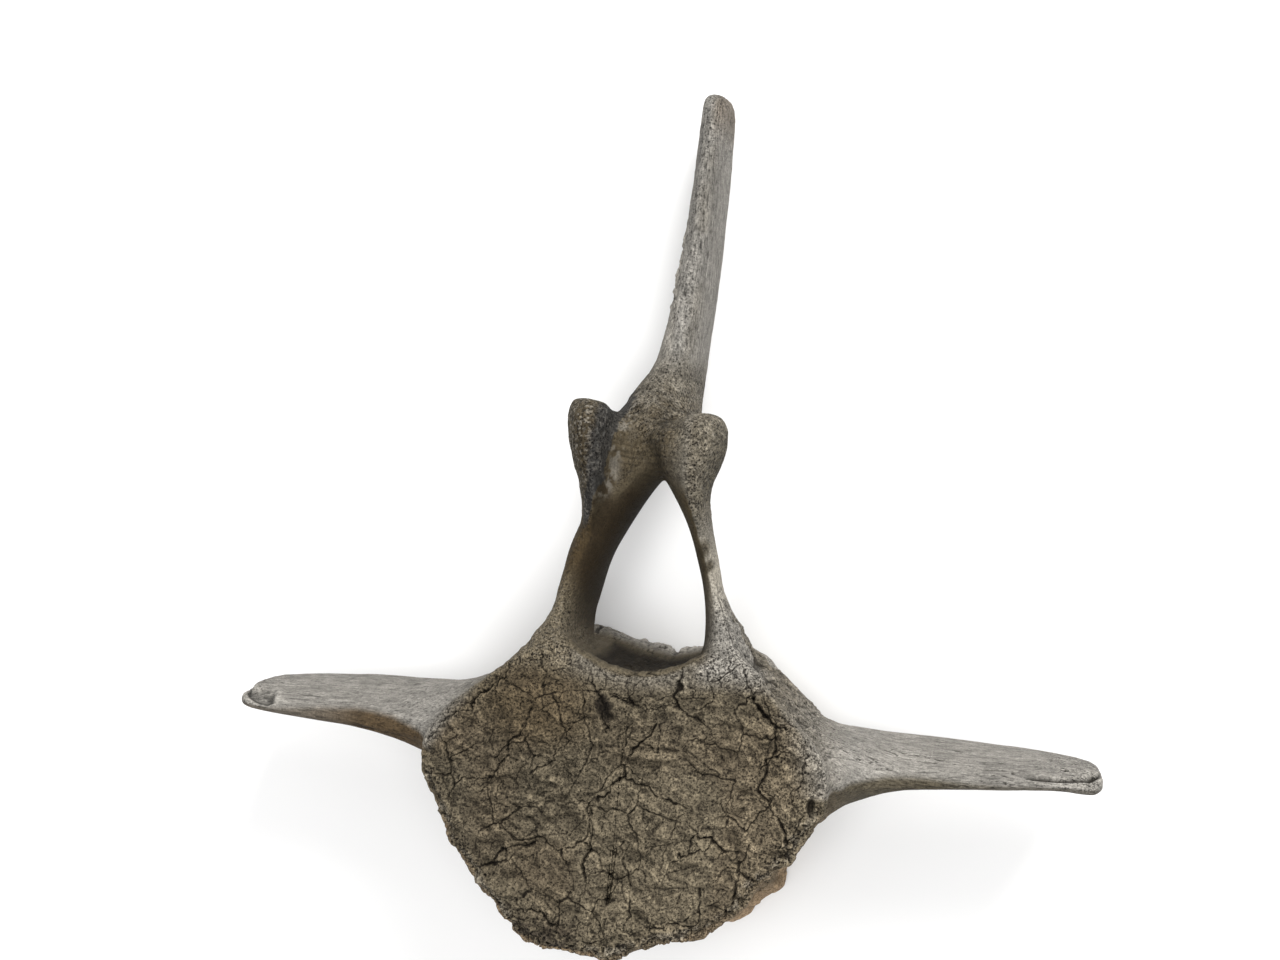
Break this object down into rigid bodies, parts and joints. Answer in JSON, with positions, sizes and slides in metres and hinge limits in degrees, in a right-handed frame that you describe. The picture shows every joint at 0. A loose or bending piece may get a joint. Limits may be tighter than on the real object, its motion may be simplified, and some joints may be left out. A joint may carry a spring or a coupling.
{
  "type": "whale vertebra",
  "caption": "Weathered vertebra of a large baleen whale with spine, arch and side processes, lying on the rear face of its body.",
  "frame": {"origin": "on the floor, under the middle of the bone's box as it lies on the rear face of its body", "axes": "+X to the right as the front face is seen from above, +Y from the belly side to the tip of the spine, +Z from the rear face up to the front face"},
  "size_m": [0.6336, 0.6286, 0.1978],
  "materials": {
    "cracked_bone": "dry weathered bone, open pores, cracked like dried mud",
    "brown_bone": "dry weathered bone, rough and stained brown",
    "grey_bone": "dry bleached bone with a lengthwise grain",
    "arch_bone": "dry bone, smooth in the canal and pitted on the lobes"
  },
  "bodies": {
    "root": {"epiphysis_front": "cracked_bone", "centrum": "brown_bone", "epiphysis_rear": "brown_bone", "transverse_process_left": "grey_bone", "transverse_process_right": "grey_bone", "pedicle_left": "arch_bone", "pedicle_right": "arch_bone", "metapophysis_left": "arch_bone", "metapophysis_right": "arch_bone", "arch_roof": "arch_bone", "neural_spine": "grey_bone"}
  },
  "joints": []
}
